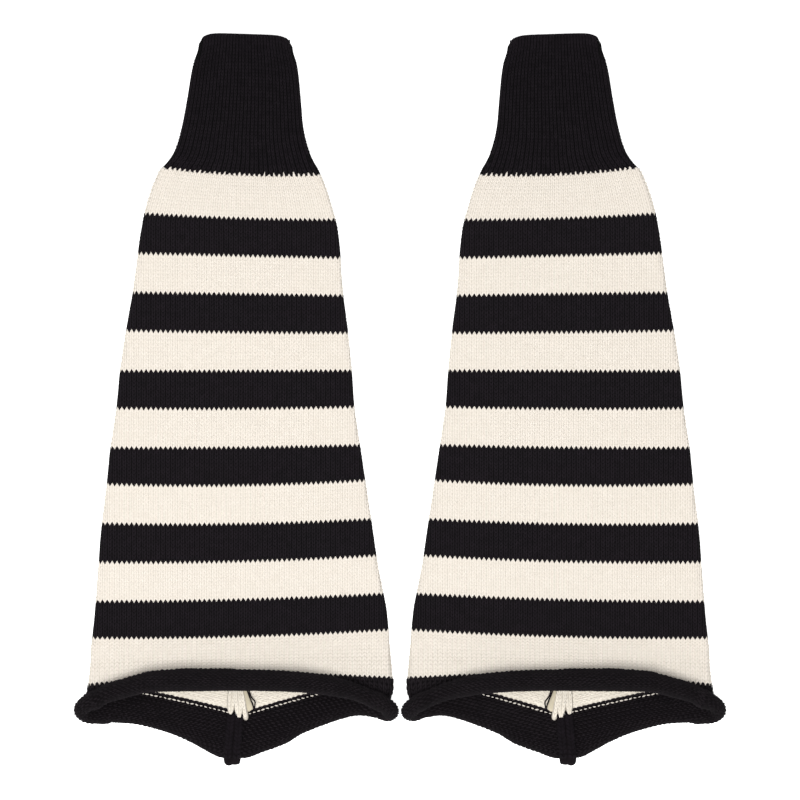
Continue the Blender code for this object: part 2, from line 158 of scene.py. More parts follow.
# Centre back seam, where it shows in the mouth: the folds of its cream edge, from left to right, the
# flap behind them, and the black edge with its tab.
CREAM_FOLDS = (
    # stations of each fold: down, across, half width, height
    ((428.5, -5.0, 2.6, 1.6), (433.0, -5.1, 2.7, 1.9), (439.6, -5.6, 2.8, 2.0), (443.5, -5.8, 2.6, 2.0),
     (446.8, -6.0, 1.7, 1.7), (448.5, -6.1, 0.9, 1.1), (449.9, -6.1, 0.1, 0.3)),
    ((428.5, -1.8, 2.8, 2.6), (433.0, -1.6, 2.9, 2.9), (439.6, -1.2, 3.0, 3.1), (444.8, -0.8, 2.9, 3.0),
     (448.8, -0.5, 2.0, 2.4), (451.1, -0.3, 1.1, 1.5), (452.6, -0.2, 0.1, 0.3)),
    ((428.5, 0.8, 1.6, 1.8), (433.0, 1.0, 1.7, 2.0), (439.6, 2.0, 2.0, 2.2), (444.8, 2.8, 2.1, 2.3),
     (448.4, 3.4, 2.1, 2.1), (450.6, 3.7, 1.9, 1.7), (452.0, 3.9, 1.3, 1.2), (452.6, 4.0, 0.4, 0.4)),
)
FOLD_COLUMNS = (
    # columns of stitches on each fold: across as a share of its half width, and width
    ((-0.47, 0.68), (0.45, 0.68)),
    ((-0.47, 0.68), (0.45, 0.68)),
    ((0.0, 1.2),),
)
CREAM_FLAP = ((428.5, 2.0, 2.0, 0.9), (433.0, 2.6, 2.2, 1.0), (439.6, 4.5, 2.7, 1.1), (443.5, 5.8, 2.8, 1.0),
              (445.6, 5.7, 2.4, 0.8), (446.9, 5.2, 1.0, 0.3))
BLACK_EDGE = ((449.0, -2.9, 5.6, 1.4), (456.0, -3.5, 5.7, 2.1), (464.0, -4.1, 5.7, 2.3),
              (470.0, -4.6, 5.7, 2.4))
BLACK_COLUMNS = ((-0.5, 0.9), (0.52, 0.9))
TAB_TURNS = (62.0, 48.0, 34.0, 20.0, 8.0, -4.0, -16.0, -28.0)
TAB = (-5.1, 5.6, 5.6)  # across, half width, height over the roll
TAB_FOOT = 2.4          # the tab's height where it leaves the seam
TAB_DOWN = 470.0        # where the seam's section starts to turn into the tab's, and over what length
TAB_BLEND = 6.0

# Loose thread, its route as seen in the photograph.
PIXEL = 0.66            # millimetres on the leg for one pixel
LEG_PIXEL = (240.0, 34.0)  # pixel of the point that places are measured from
THREAD_THICK = 0.0009  # metres
THREAD_ROUTE = (
    # pixel across, pixel down, height over the back layer
    (254.2, 709.2, 0.9), (253.4, 705.0, 1.6), (251.0, 699.0, 2.2), (249.0, 694.5, 2.4), (247.6, 690.5, 2.6),
    (246.2, 686.5, 2.6), (245.3, 682.5, 2.4), (246.0, 679.2, 2.3), (248.2, 678.4, 2.3), (249.8, 681.0, 2.4),
    (249.6, 685.5, 2.6), (249.0, 690.0, 2.7), (250.2, 694.0, 2.6), (252.0, 697.6, 2.4), (254.4, 699.8, 2.0),
    (255.7, 702.2, 1.6), (255.0, 705.2, 1.2), (254.4, 708.0, 0.9),
)

# Shallow creases pressed into the front, as troughs that fade at both ends.
CREASES = (
    # across at top, down at top, across at bottom, down at bottom, width, depth
    (-38.5, 112.0, -40.5, 205.0, 3.2, 0.45),
    (37.5, 118.0, 38.5, 190.0, 3.5, 0.40),
    (-3.0, 300.0, -3.5, 410.0, 5.0, 0.30),
)


def put(name, data):
    """New object in the scene."""
    item = bpy.data.objects.new(name, data)
    bpy.context.scene.collection.objects.link(item)
    return item


# Camera and light

CAMERA_PLACE = (0.0, -0.0008, 6.0)
LENS = 409.1           # millimetres, so that the pair fills the picture as in the photograph
SENSOR = 36.0


def stand_camera():
    """Camera straight above the pair, far off so that it hardly sees perspective."""
    data = bpy.data.cameras.new("camera")
    data.lens = LENS
    data.sensor_width = SENSOR
    data.clip_end = 20.0
    camera = put("camera", data)
    camera.location = CAMERA_PLACE
    bpy.context.scene.camera = camera


def hang_light(name, place, aim, size, power):
    """Square soft box of a size in metres and a power in watts."""
    data = bpy.data.lights.new(name, "AREA")
    data.shape = "SQUARE"
    data.size = size
    data.energy = power
    light = put(name, data)
    light.location = place
    turn = (Vector(aim) - Vector(place)).to_track_quat("-Z", "Y")
    light.rotation_euler = turn.to_euler()


def light_studio():
    """Even white surroundings with one soft box over the foot of the pair and a weak one at its side."""
    world = bpy.data.worlds.new("studio")
    world.use_nodes = True
    surround = world.node_tree.nodes["Background"].inputs
    surround["Color"].default_value = (1.0, 1.0, 1.0, 1.0)
    surround["Strength"].default_value = 0.62
    bpy.context.scene.world = world
    bpy.context.scene.view_settings.view_transform = "Standard"
    hang_light("soft_box_above", (-0.12, -0.62, 2.3), (0.0, 0.0, 0.0), 1.2, 62.0)
    hang_light("soft_box_side", (-1.3, 0.2, 1.1), (0.0, 0.0, 0.0), 0.7, 5.0)


stand_camera()
light_studio()


# Nodes and finishes

def linear(code):
    """An sRGB hex colour as linear values with full alpha."""
    parts = [int(code[i:i + 2], 16) / 255.0 for i in (0, 2, 4)]
    return tuple(c / 12.92 if c <= 0.04045 else ((c + 0.055) / 1.055) ** 2.4 for c in parts) + (1.0,)


def add(tree, kind, inputs=(), **settings):
    """Add a node, give it its settings, and set or link its inputs."""
    node = tree.nodes.new(kind)
    for name, value in settings.items():
        setattr(node, name, value)
    for key, value in dict(inputs).items():
        if isinstance(value, bpy.types.NodeSocket):
            tree.links.new(value, node.inputs[key])
        else:
            node.inputs[key].default_value = value
    return node


def reckon(tree, operation, *values):
    """A math node on numbers or sockets; gives its result."""
    return add(tree, "ShaderNodeMath", enumerate(values), operation=operation).outputs[0]


def new_material(name):
    """Empty material and its node tree."""
    material = bpy.data.materials.new(name)
    material.use_nodes = True
    material.node_tree.nodes.clear()
    return material, material.node_tree


def finish_matt(tree, share, light, dark, height, strength, tall, roughness, sheen):
    """End of a matt finish: tone from dark to light by a share, and bumps of a height in metres."""
    tone = add(tree, "ShaderNodeMix", {"Factor": share, 6: linear(dark), 7: linear(light)}, data_type="RGBA")
    bump = add(tree, "ShaderNodeBump", {"Height": height, "Strength": strength, "Distance": tall})
    shader = add(tree, "ShaderNodeBsdfPrincipled", {
        "Base Color": tone.outputs[2], "Roughness": roughness, "Specular IOR Level": 0.04,
        "Sheen Weight": sheen, "Sheen Roughness": 0.5, "Normal": bump.outputs["Normal"]})
    add(tree, "ShaderNodeOutputMaterial", {"Surface": shader.outputs["BSDF"]})


def yarn(name, light, dark, sheen):
    """Spun yarn: a soft twist of fine fibres, its tone a little uneven from stitch to stitch."""
    material, tree = new_material(name)
    place = add(tree, "ShaderNodeTexCoord").outputs["Object"]
    # tone wanders over about 4 mm, as between one stitch and the next
    drift = add(tree, "ShaderNodeTexNoise", {"Vector": place, "Scale": 240.0, "Detail": 2.0})
    # fibres about 0.3 mm apart, drawn coarser than real so that they show
    fibre = add(tree, "ShaderNodeTexNoise", {"Vector": place, "Scale": 3200.0, "Detail": 3.0})
    both = reckon(tree, "ADD", drift.outputs["Fac"], fibre.outputs["Fac"])
    share = add(tree, "ShaderNodeMapRange", {"Value": both, "From Min": 0.65, "From Max": 1.35})
    finish_matt(tree, share.outputs["Result"], light, dark, fibre.outputs["Fac"], 0.5, 0.00025, 0.92, sheen)
    return material


def knit(name, light, dark, sheen, purl=False):
    """Knitted cloth seen as a face: rows of V stitches, or of purl bumps, from its stitch map."""
    material, tree = new_material(name)
    spot = add(tree, "ShaderNodeUVMap", uv_map="stitches")
    axes = add(tree, "ShaderNodeSeparateXYZ", {0: spot.outputs["UV"]})
    across = reckon(tree, "FRACT", axes.outputs["X"])
    across = reckon(tree, "ABSOLUTE", reckon(tree, "SUBTRACT", across, 0.5))
    # the two strands of a V lean apart, and a purl bump is only bowed
    lean = reckon(tree, "MULTIPLY", across, 0.3 if purl else 1.3)
    rows = reckon(tree, "ADD", axes.outputs["Y"], lean)
    turn = reckon(tree, "MULTIPLY", rows, (2.0 if purl else 1.0) * HALF_TURN)
    loop = reckon(tree, "ABSOLUTE", reckon(tree, "SINE", turn))
    groove = reckon(tree, "MULTIPLY", across, (1.0 if purl else 2.0) * HALF_TURN)
    groove = reckon(tree, "POWER", reckon(tree, "SINE", groove), 0.5)
    # this height also sets the tone: darker in the grooves between the strands, as painted shade
    height = reckon(tree, "POWER", reckon(tree, "MULTIPLY", loop, groove), 0.6)
    # a stitch stands about half a millimetre proud
    finish_matt(tree, height, light, dark, height, 0.8, 0.0005, 0.95, sheen)
    return material


# Acrylic and wool yarn, carded and loosely spun: matt, slightly hairy, no hard highlight. Each finish
# has the tone of its strands where light reaches them, and the darker one between the fibres.
CREAM_YARN = yarn("cream acrylic wool yarn", "cfc8bf", "c7bfb5", 0.04)
BLACK_YARN = yarn("black acrylic wool yarn", "1c181c", "131113", 0.01)
CUFF_YARN = yarn("black rib yarn", "1b171b", "100d10", 0.01)
HEM_YARN = yarn("black hem yarn", "201c1f", "110f11", 0.01)
# Lighter copy of the cream yarn for the purl bumps and seam stitches inside the mouth: painted light that
# takes out most of the shade under the roll.
CREAM_MOUTH_PAINTED_LIGHT = yarn("cream yarn, painted lighter in the mouth", "ded8cd", "d2cbbf", 0.04)
# The cut edges of the panel, which turn in at the seam: a little darker than the stitches that lie on them.
CREAM_FOLD = yarn("cream seam edge yarn", "c6bfb3", "b0a89c", 0.04)
# The flap beside the ridge is painted darker: the ridge's shade on it.
CREAM_FLAP_PAINTED_SHADE = yarn("cream seam flap, painted in the ridge's shade", "bfb6a2", "b1a893", 0.03)
BLACK_FOLD = yarn("black seam edge yarn", "141013", "0b090a", 0.01)
BLACK_SEAM = yarn("black yarn of the seam's stitches", "171317", "0d0b0d", 0.01)
# The same yarns deep between the stitches, where less light reaches.
CREAM_KNIT = knit("cream plain knit", "cdc7bc", "b6b0a4", 0.03)
BLACK_KNIT = knit("black plain knit", "100e10", "050505", 0.01)
# The purl knit inside the mouth is painted lighter than the front's knit in the same way, against the shade
# there.
CREAM_PURL = knit("cream purl knit", "d4cdc1", "c4bcaf", 0.03, purl=True)
BLACK_PURL = knit("black purl knit", "0f0c0e", "050405", 0.01, purl=True)


# Shape of the cloth

def hermite(t, start, start_way, end, end_way):
    """Curve from start to end that leaves and arrives along the two ways."""
    return ((2 * t**3 - 3 * t**2 + 1) * start + (t**3 - 2 * t**2 + t) * start_way
            + (3 * t**2 - 2 * t**3) * end + (t**3 - t**2) * end_way)


def lengths(points):
    """Length of the way through points, up to each of them."""
    return np.concatenate([[0.0], np.cumsum(np.linalg.norm(np.diff(points, axis=0), axis=-1))])


def along_table(table, key):
    """All columns of a table at a key in its first one, on smooth curves that never overshoot."""
    rows = np.asarray(table, float)
    x, y = rows[:, 0], rows[:, 1:]
    key = np.clip(np.asarray(key, float), x[0], x[-1])
    step = np.diff(x)[:, None]
    rise = np.diff(y, axis=0) / step
    slope = np.vstack([rise[:1], 0.5 * (rise[:-1] + rise[1:]), rise[-1:]])
    low = np.minimum(np.abs(rise[:-1]), np.abs(rise[1:])) * 3.0
    slope[1:-1] = np.where(rise[:-1] * rise[1:] > 0.0, np.clip(slope[1:-1], -low, low), 0.0)
    i = np.clip(np.searchsorted(x, key, side="right") - 1, 0, len(x) - 2)
    h = step[i, 0][..., None]
    t = (key - x[i])[..., None] / h
    return np.moveaxis(hermite(t, y[i], h * slope[i], y[i + 1], h * slope[i + 1]), -1, 0)


def smooth(t):
    """Even rise from 0 to 1 with flat ends."""
    t = np.clip(t, 0.0, 1.0)
    return t * t * (3.0 - 2.0 * t)


def back_edge(x):
    """How far down the hem's lower edge lies."""
    return along_table(BACK_ROLL, x)[0]


def back_lift(x, down):
    """Height of the back layer's lower face above the floor."""
    return LIFT * smooth((down - LIFT_START) / (back_edge(x) - LIFT_START))


def crease(x, down):
    """Depth of the pressed creases at places on the front."""
    total = np.zeros_like(x + down)
    for x0, d0, x1, d1, width, depth in CREASES:
        t = (down - d0) / (d1 - d0)
        middle = x0 + (x1 - x0) * t
        fade = smooth(t / 0.2) * smooth((1.0 - t) / 0.25)
        total += depth * fade * np.exp(-((x - middle) / width) ** 2)
    return total


def fold_measures(row):
    """Everything that fixes one row of knitting round the flattened tube."""
    left, middle, right, corner, drop, fold_z, mid_z, origin = along_table(COURSES, row)
    x_left = along_table(OUTLINE, left)[0]
    x_right = along_table(OUTLINE, right)[1]
    half_left = np.maximum(0.25, 0.5 * (fold_z - back_lift(x_left, left) - WALL))
    half_right = np.maximum(0.25, 0.5 * (fold_z - back_lift(x_right, right) - WALL))
    return {"left": left, "middle": middle, "right": right, "corner": corner, "drop": drop,
            "fold_z": fold_z, "mid_z": mid_z, "origin": origin,
            "half_left": half_left, "half_right": half_right,
            "x_left": x_left + WALL + half_left, "x_right": x_right - WALL - half_right}


def girth(row):
    """Length of a row of knitting, once round the tube."""
    m = fold_measures(row)
    return 2.0 * (m["x_right"] - m["x_left"]) + np.pi * (m["half_left"] + m["half_right"] + 2.0 * WALL)


def ring_limits(row):
    """How far a row of knitting runs to the right and left of the front's middle, up to the back seam."""
    m = fold_measures(row)
    seam = 0.5 * (m["x_left"] + m["x_right"]) + SEAM_X / HALF_AT_HEM * 0.5 * (m["x_right"] - m["x_left"])
    right = m["x_right"] - m["origin"] + np.pi * (m["half_right"] + WALL) + m["x_right"] - seam
    left = m["origin"] - m["x_left"] + np.pi * (m["half_left"] + WALL) + seam - m["x_left"]
    return right, left


def across_ring(m, x):
    """Place across the leg, from -1 at the left fold to 1 at the right one."""
    return np.clip((2.0 * x - m["x_left"] - m["x_right"]) / (m["x_right"] - m["x_left"]), -1.0, 1.0)


def spot_on_ring(m, along):
    """Which layer or fold a place lies on, from its way along the row from the front's middle."""
    right = along >= 0.0
    reach = np.where(right, m["x_right"] - m["origin"], m["origin"] - m["x_left"])
    outer = np.where(right, m["half_right"], m["half_left"]) + WALL
    way = np.abs(along)
    turned = np.clip((way - reach) / outer, 0.0, np.pi)
    front, back = way <= reach, way > reach + np.pi * outer
    sign = np.where(right, 1.0, -1.0)
    x = np.where(front, m["origin"] + along,
                 np.where(right, m["x_right"], m["x_left"])
                 - sign * np.maximum(0.0, way - reach - np.pi * outer))
    return x, sign, turned, front, back


def chevron(s):
    """Share of the back's drop at a place across, from -1 to 1: full near the seam, none at the folds."""
    seam = CHEVRON_X / HALF_AT_HEM
    reach = np.where(s < seam, 1.0 + seam, 1.0 - seam)
    return (1.0 - np.minimum(1.0, np.abs(s - seam) / reach)) ** CHEVRON_POWER


def cloth_point(row, along, depth):
    """Points of the tube: row of knitting, way along it, and depth below its outer face."""
    row, along, depth = np.broadcast_arrays(*(np.asarray(v, float) for v in (row, along, depth)))
    m = fold_measures(row)
    x, sign, turned, front, back = spot_on_ring(m, along)
    s = across_ring(m, x)
    straight = m["left"] + (m["right"] - m["left"]) * (0.5 + 0.5 * s)
    bow = (m["middle"] - 0.5 * (m["left"] + m["right"])) * (1.0 - np.abs(s) ** m["corner"])
    side_down = np.where(sign > 0.0, m["right"], m["left"])
    side_down = side_down + CORNER * smooth((CORNER_ROW - row) / CORNER_ROWS) * np.sin(turned)
    down = np.where(front, straight + bow,
                    np.where(back, straight + 0.5 * bow + m["drop"] * chevron(s), side_down))
    half = np.where(sign > 0.0, m["half_right"], m["half_left"])
    radius = half + WALL - depth
    z_front = (m["fold_z"] + (m["mid_z"] - m["fold_z"]) * (1.0 - s * s) + WALL - depth
               - crease(x, down))
    z_back = back_lift(x, down) + depth
    fold = ~front & ~back
    z = np.where(front, z_front, np.where(back, z_back, m["fold_z"] - half + radius * np.cos(turned)))
    x = np.where(fold, x + sign * radius * np.sin(turned), x)
    return np.stack([x, down, z], -1)


def roll_path(row_end, along):
    """Centre, radius and outward direction of the hem's roll, round the mouth."""
    m = fold_measures(np.full_like(along, row_end))
    x, sign, turned, front, back = spot_on_ring(m, along)
    s = across_ring(m, x)
    fold = ~front & ~back
    edge = np.where(fold, sign, s)
    ear_x = EAR_LEFT_X + (EAR_RIGHT_X - EAR_LEFT_X) * (0.5 + 0.5 * edge)
    low, high = along_table(FRONT_ROLL, ear_x)
    slope = (along_table(FRONT_ROLL, ear_x + 4.0)[0] - along_table(FRONT_ROLL, ear_x - 4.0)[0]) / 8.0
    front_radius = 0.5 * (low - high) / np.hypot(1.0, slope)
    front_down = 0.5 * (low + high)
    end_z = EAR_Z + EAR_FRONT_RISE
    front_z = end_z + (ROLL_MID_Z - EAR_Z - EAR_FRONT_RISE) * smooth(1.6 * (1.0 - np.abs(edge)))
    slope = (back_edge(ear_x + 4.0) - back_edge(ear_x - 4.0)) / 8.0
    back_down = back_edge(ear_x) - BACK_ROLL_RADIUS * np.hypot(1.0, slope)
    up = np.where(fold, np.cos(turned), np.where(front, 1.0, -1.0))
    out = np.where(fold, np.sin(turned), 0.0)
    share = 0.5 - 0.5 * up
    rise = np.where(up > 0.0, EAR_FRONT_RISE, EAR_BACK_DROP)
    down = np.where(fold, front_down + (back_down - front_down) * share,
                    np.where(front, front_down, back_down))
    z = np.where(fold, EAR_Z + rise * up, np.where(front, front_z, BACK_ROLL_RADIUS))
    straight = front_radius + (BACK_ROLL_RADIUS - front_radius) * share
    reach, ear_radius, sag, point = (np.where(sign > 0.0, right, left) for left, right in
                                     (EAR_REACH, EAR_RADIUS, EAR_SAG, EAR_POINT))
    radius = straight + (ear_radius - straight) * out
    centre = np.stack([ear_x + sign * reach * out ** point, down + sag * out, z], -1)
    return centre, radius, np.stack([sign * out, np.zeros_like(up), up], -1)


def unit(v):
    """Vectors brought to length 1."""
    return v / np.maximum(1e-9, np.linalg.norm(v, axis=-1, keepdims=True))


def roll_shares():
    """Where each share of the mouth's way round lies on the roll, by the roll's own length."""
    right, left = (float(v) for v in ring_limits(np.array(float(BODY_ROWS))))
    fine = np.linspace(-left, right, 2401)
    centre = roll_path(BODY_ROWS, fine)[0]
    length = lengths(centre)
    zero = np.interp(0.0, fine, length)
    return fine, (length - zero) / length[-1] * (right + left), right, left


ROLL_WAYS, ROLL_LENGTHS, MOUTH_RIGHT, MOUTH_LEFT = roll_shares()


def round_mouth(along):
    """Way round the mouth, brought back past the seam where it runs over."""
    return (along + MOUTH_LEFT) % (MOUTH_LEFT + MOUTH_RIGHT) - MOUTH_LEFT


def on_roll(along):
    """The roll's centre, radius and outward direction, evenly by its own length."""
    return roll_path(BODY_ROWS, np.interp(round_mouth(along), ROLL_LENGTHS, ROLL_WAYS))


def hem_frames(along):
    """Centre, radius, downward and outward directions of the hem's section at places round it."""
    centre, radius, out = on_roll(along)
    way = unit(on_roll(along + 2.5)[0] - on_roll(along - 2.5)[0])
    out = unit(out - way * np.sum(out * way, -1, keepdims=True))
    down = unit(np.cross(way, out))
    down = np.where(down[..., 1:2] < 0.0, -down, down)
    return centre, radius, down, out


def hem_point(along, way, depth):
    """Points of the hem: way down its section from the join, depth into it from the purl face."""
    along, way, depth = np.broadcast_arrays(*(np.asarray(v, float) for v in (along, way, depth)))
    centre, radius, down, out = hem_frames(along)
    along = np.clip(along, -MOUTH_LEFT, MOUTH_RIGHT)
    join = cloth_point(BODY_ROWS, along, WALL)
    join_out = unit(cloth_point(BODY_ROWS, along, 0.0) - join)
    join[..., 1] += JOIN
    start = centre - out * radius[..., None]
    flat = np.linalg.norm(start - join, axis=-1)
    side = np.abs(out[..., 0])
    lead = unit(join - cloth_point(BODY_ROWS - 1.5, along, WALL)) * (flat * (1.0 + 0.9 * side))[..., None]
    tail = down * (flat * (1.0 - 0.5 * side))[..., None]
    t = np.clip(way / np.maximum(flat, 0.01), 0.0, 1.0)[..., None]
    on_flat = hermite(t, join, lead, start, tail)
    thick = WALL + (HEM_WALL - WALL) * t[..., 0]
    on_flat = on_flat + unit(join_out * (1.0 - t) + out * t) * (depth * thick / HEM_WALL)[..., None]
    turned = np.clip(np.degrees((way - flat) / radius), 0.0, CURL_TURN)
    tight = np.minimum((radius - HEM_WALL - 0.4) / 0.87, radius * 0.86)
    size = radius + (tight - radius) * smooth((turned - TIGHT_TURN) / (CURL_TURN - TIGHT_TURN)) - depth
    on_curl = (centre + down * (size * np.sin(np.radians(turned)))[..., None]
               - out * (size * np.cos(np.radians(turned)))[..., None])
    return np.where((way > flat)[..., None], on_curl, on_flat), flat, radius


def to_scene(points, side):
    """Leg millimetres to scene metres; the right leg is the left one mirrored."""
    x = (points[..., 0] - LEG_X) * MM
    return np.stack([x if side == "left" else -x, (TOP_Y - points[..., 1]) * MM, points[..., 2] * MM], -1)


# Pieces

def add_piece(label, verts, faces, side, materials, slots=None, uvs=None):
    """New piece from leg points, its faces turned outward for the mirrored leg too."""
    name = label + "_" + side
    verts = to_scene(np.asarray(verts, float).reshape(-1, 3), side)
    faces = np.asarray(faces, int)
    if side == "right":
        faces = faces[:, ::-1]
    mesh = bpy.data.meshes.new(name)
    mesh.from_pydata(verts.tolist(), [], faces.tolist())
    for material in materials:
        mesh.materials.append(material)
    if slots is not None:
        mesh.polygons.foreach_set("material_index", np.asarray(slots, np.int32))
    if uvs is not None:
        corners = np.asarray(uvs, float)
        if side == "right":
            corners = corners[:, ::-1]
        layer = mesh.uv_layers.new(name="stitches")
        layer.data.foreach_set("uv", corners.reshape(-1))
    mesh.polygons.foreach_set("use_smooth", [True] * len(mesh.polygons))
    mesh.update()
    return put(name, mesh)


def on_columns(rows, columns, pitch_of):
    """Ways along each row for a set of columns; those past the seam gather in it."""
    right, left = ring_limits(rows)
    return np.clip(columns * pitch_of(rows), -left, right)


def grid_faces(deep, count, start, flip):
    """Quads of an open grid of points, deep rows by count columns."""
    r, k = (v.ravel() for v in np.meshgrid(np.arange(deep - 1), np.arange(count - 1), indexing="ij"))
    here, below = start + r * count + k, start + (r + 1) * count + k
    quads = np.stack([here, here + 1, below + 1, below], -1)
    return (quads[:, ::-1] if flip else quads), r


def wall_piece(label, side, outer, inner, marks, materials, slots=None):
    """Closed wall between two sheets of points whose first and last columns meet at the seam.
    Slots has the finish of each row of faces, the first one if there is none."""
    deep, count = outer.shape[:2]
    face, face_row = grid_faces(deep, count, 0, True)
    lining, lining_row = grid_faces(deep, count, deep * count, False)
    k = np.arange(count - 1)
    rims, rim_rows = [], []
    for r, flip in ((0, False), (deep - 1, True)):
        a = r * count + k
        rim = np.stack([a, a + 1, a + 1 + deep * count, a + deep * count], -1)
        rims.append(rim[:, ::-1] if flip else rim)
        rim_rows.append(np.full(count - 1, min(r, deep - 2)))
    faces = np.vstack([face, lining, *rims])
    rows = np.concatenate([face_row, lining_row, *rim_rows])
    verts = np.concatenate([outer.reshape(-1, 3), inner.reshape(-1, 3)])
    uvs = np.concatenate([marks.reshape(-1, 2)] * 2)[faces]
    slots = np.zeros(len(rows), int) if slots is None else np.array(slots)[rows]
    piece = add_piece(label, verts, faces, side, materials, slots, uvs)
    work = bmesh.new()
    work.from_mesh(piece.data)
    bmesh.ops.remove_doubles(work, verts=work.verts, dist=2e-6)
    work.to_mesh(piece.data)
    work.free()
    return piece


def lowered(grid, ways):
    """Outer face under the stitches on the front and folds, and full on the side that rests."""
    m = fold_measures(grid)
    _, _, turned, front, back = spot_on_ring(m, ways)
    return np.where(back, 0.0, STITCH_DEPTH * (1.0 - smooth(turned / FADE_TURN)))


def rib_depth(grid, ways):
    """Outer face of the cuff: a rounded rib for each column, in pairs near its bottom."""
    m = fold_measures(grid)
    _, _, turned, front, back = spot_on_ring(m, ways)
    column = ways / rib_pitch(grid)
    ridge = np.abs(np.sin(np.pi * column)) ** 0.8
    pair = 0.05 + 0.5 * smooth((grid + 22.0) / 14.0)
    ridge = np.where(np.round(column) % 2 == 1, np.maximum(ridge, pair), ridge)
    return np.where(back, 0.0, (1.15 - 0.9 * ridge) * (1.0 - 0.8 * smooth(turned / FADE_TURN)))


# Stitches

def form_mesh(name, strands, stations, arch, blunt=None):
    """One small loop form, its strands raised and closed to a tip at both ends, in metres.
    A blunt strand has its first and last stations close to its ends, at that share of its width."""
    verts, faces = [], []
    for path, half, rise in strands:
        base = len(verts)
        t = np.linspace(0.0, 1.0, stations + 2)
        if blunt:
            t[1:-1] = np.linspace(0.12, 0.88, stations)
        points = np.array([path(v) for v in t])
        way = unit(np.gradient(points, axis=0))
        side = unit(np.stack([way[:, 1], -way[:, 0], np.zeros(len(t))], -1))
        verts.append(tuple(points[0] * MM))
        for i in range(1, stations + 1):
            full = (blunt if i in (1, stations) else 1.0) if blunt else np.sin(np.pi * t[i]) ** 0.55
            for a in np.linspace(np.pi, 0.0, arch):
                lift = np.array([0.0, 0.0, rise * full * np.sin(a)])
                p = points[i] + side[i] * half * full * np.cos(a) + lift
                verts.append(tuple(p * MM))
        verts.append(tuple(points[-1] * MM))
        first, last = base + 1, len(verts) - 1
        for j in range(arch - 1):
            faces.append((base, first + j, first + j + 1))
            faces.append((last, last - arch + j + 1, last - arch + j))
            for i in range(stations - 1):
                a = first + i * arch + j
                faces.append((a, a + arch, a + arch + 1, a + 1))
    mesh = bpy.data.meshes.new(name)
    mesh.from_pydata(verts, [], [f[::-1] for f in faces])
    return put(name, mesh)


def strand(x, x_way, y, y_way, power=1.0, bend=0.0):
    """Path of a strand across and up its cell, evenly or drawn up by a power, straight or bent."""
    return lambda t: np.array([x + x_way * t, y + y_way * t ** power + bend * np.sin(np.pi * t), -0.1])


# The V of a plain stitch: two strands that lean apart, each tip tucked beside the next row's.
PLAIN = form_mesh("plain_stitch", [(strand(0.25, 1.1, -1.65, 3.3), 0.75, 0.64),
                                   (strand(-0.25, -1.1, -1.65, 3.3), 0.75, 0.64)], 3, 4, blunt=0.62)
# A purl stitch: the bow of its head, and half a column aside the bow that joins it to the next.
PURL = form_mesh("purl_stitch", [(strand(-1.45, 2.9, 0.28, 0.0, bend=0.4), 0.56, 0.72),
                                 (strand(0.15, 2.9, -0.28, 0.0, bend=-0.4), 0.56, 0.72)], 3, 3)
# The single bump that a change of yarn leaves on the inside.
BAR = form_mesh("bar_stitch", [(strand(-1.6, 3.2, 0.0, 0.0), 0.6, 0.7)], 3, 4)
# A strand of the first cream row drawn up between two ribs.
TICK = form_mesh("tick_stitch", [(strand(0.0, 0.25, -1.2, 3.4, power=1.6), 0.8, 0.8)], 3, 4)
# Tip of a black stitch that stands up into the last cream row.
PEAK = form_mesh("peak_stitch", [(strand(0.0, 0.0, -2.3, 4.4), 1.4, 0.72)], 3, 4)

STITCH_INPUTS = ("Loop form", "Yarn", "Width", "Height", "Rise", "Wander", "Size spread", "Seed")
STITCHES = {
    # form, finish, shares of its cell in width, height and rise, turn in radians, spread of sizes, seed
    "body_stitches_cream": (PLAIN, CREAM_YARN, 1.05, 1.0, 0.8, 0.06, 0.07, 11),
    "body_stitches_black": (PLAIN, BLACK_YARN, 0.92, 1.0, 0.8, 0.06, 0.07, 12),
    "first_hem_row": (PEAK, HEM_YARN, 1.0, 1.0, 1.0, 0.1, 0.05, 13),
    "cuff_stitches": (PLAIN, CUFF_YARN, 0.75, 0.92, 0.85, 0.13, 0.12, 23),
    "first_cream_row": (TICK, CREAM_YARN, 1.0, 1.0, 1.0, 0.2, 0.05, 29),
    "hem_purl": (PURL, HEM_YARN, 1.0, 1.0, 1.0, 0.16, 0.1, 31),
    "hem_stitches": (PLAIN, HEM_YARN, 1.0, 1.0, 1.0, 0.05, 0.05, 37),
    "mouth_purl": (PURL, CREAM_MOUTH_PAINTED_LIGHT, 1.02, 1.02, 1.2, 0.25, 0.15, 41),
    "yarn_change": (BAR, BLACK_YARN, 1.35, 1.15, 1.2, 0.1, 0.12, 43),
    "cream_bars": (BAR, CREAM_YARN, 0.76, 1.3, 1.0, 0.3, 0.25, 47),
    "seam_loops_0": (PLAIN, CREAM_MOUTH_PAINTED_LIGHT, 1.1, 1.05, 1.2, 0.15, 0.12, 51),
    "seam_loops_1": (PLAIN, CREAM_MOUTH_PAINTED_LIGHT, 1.1, 1.05, 1.2, 0.15, 0.12, 52),
    "seam_loops_2": (PLAIN, CREAM_MOUTH_PAINTED_LIGHT, 1.1, 1.05, 1.2, 0.15, 0.12, 53),
    "seam_edge_loops": (PLAIN, BLACK_SEAM, 1.0, 1.0, 1.0, 0.1, 0.05, 61),
}


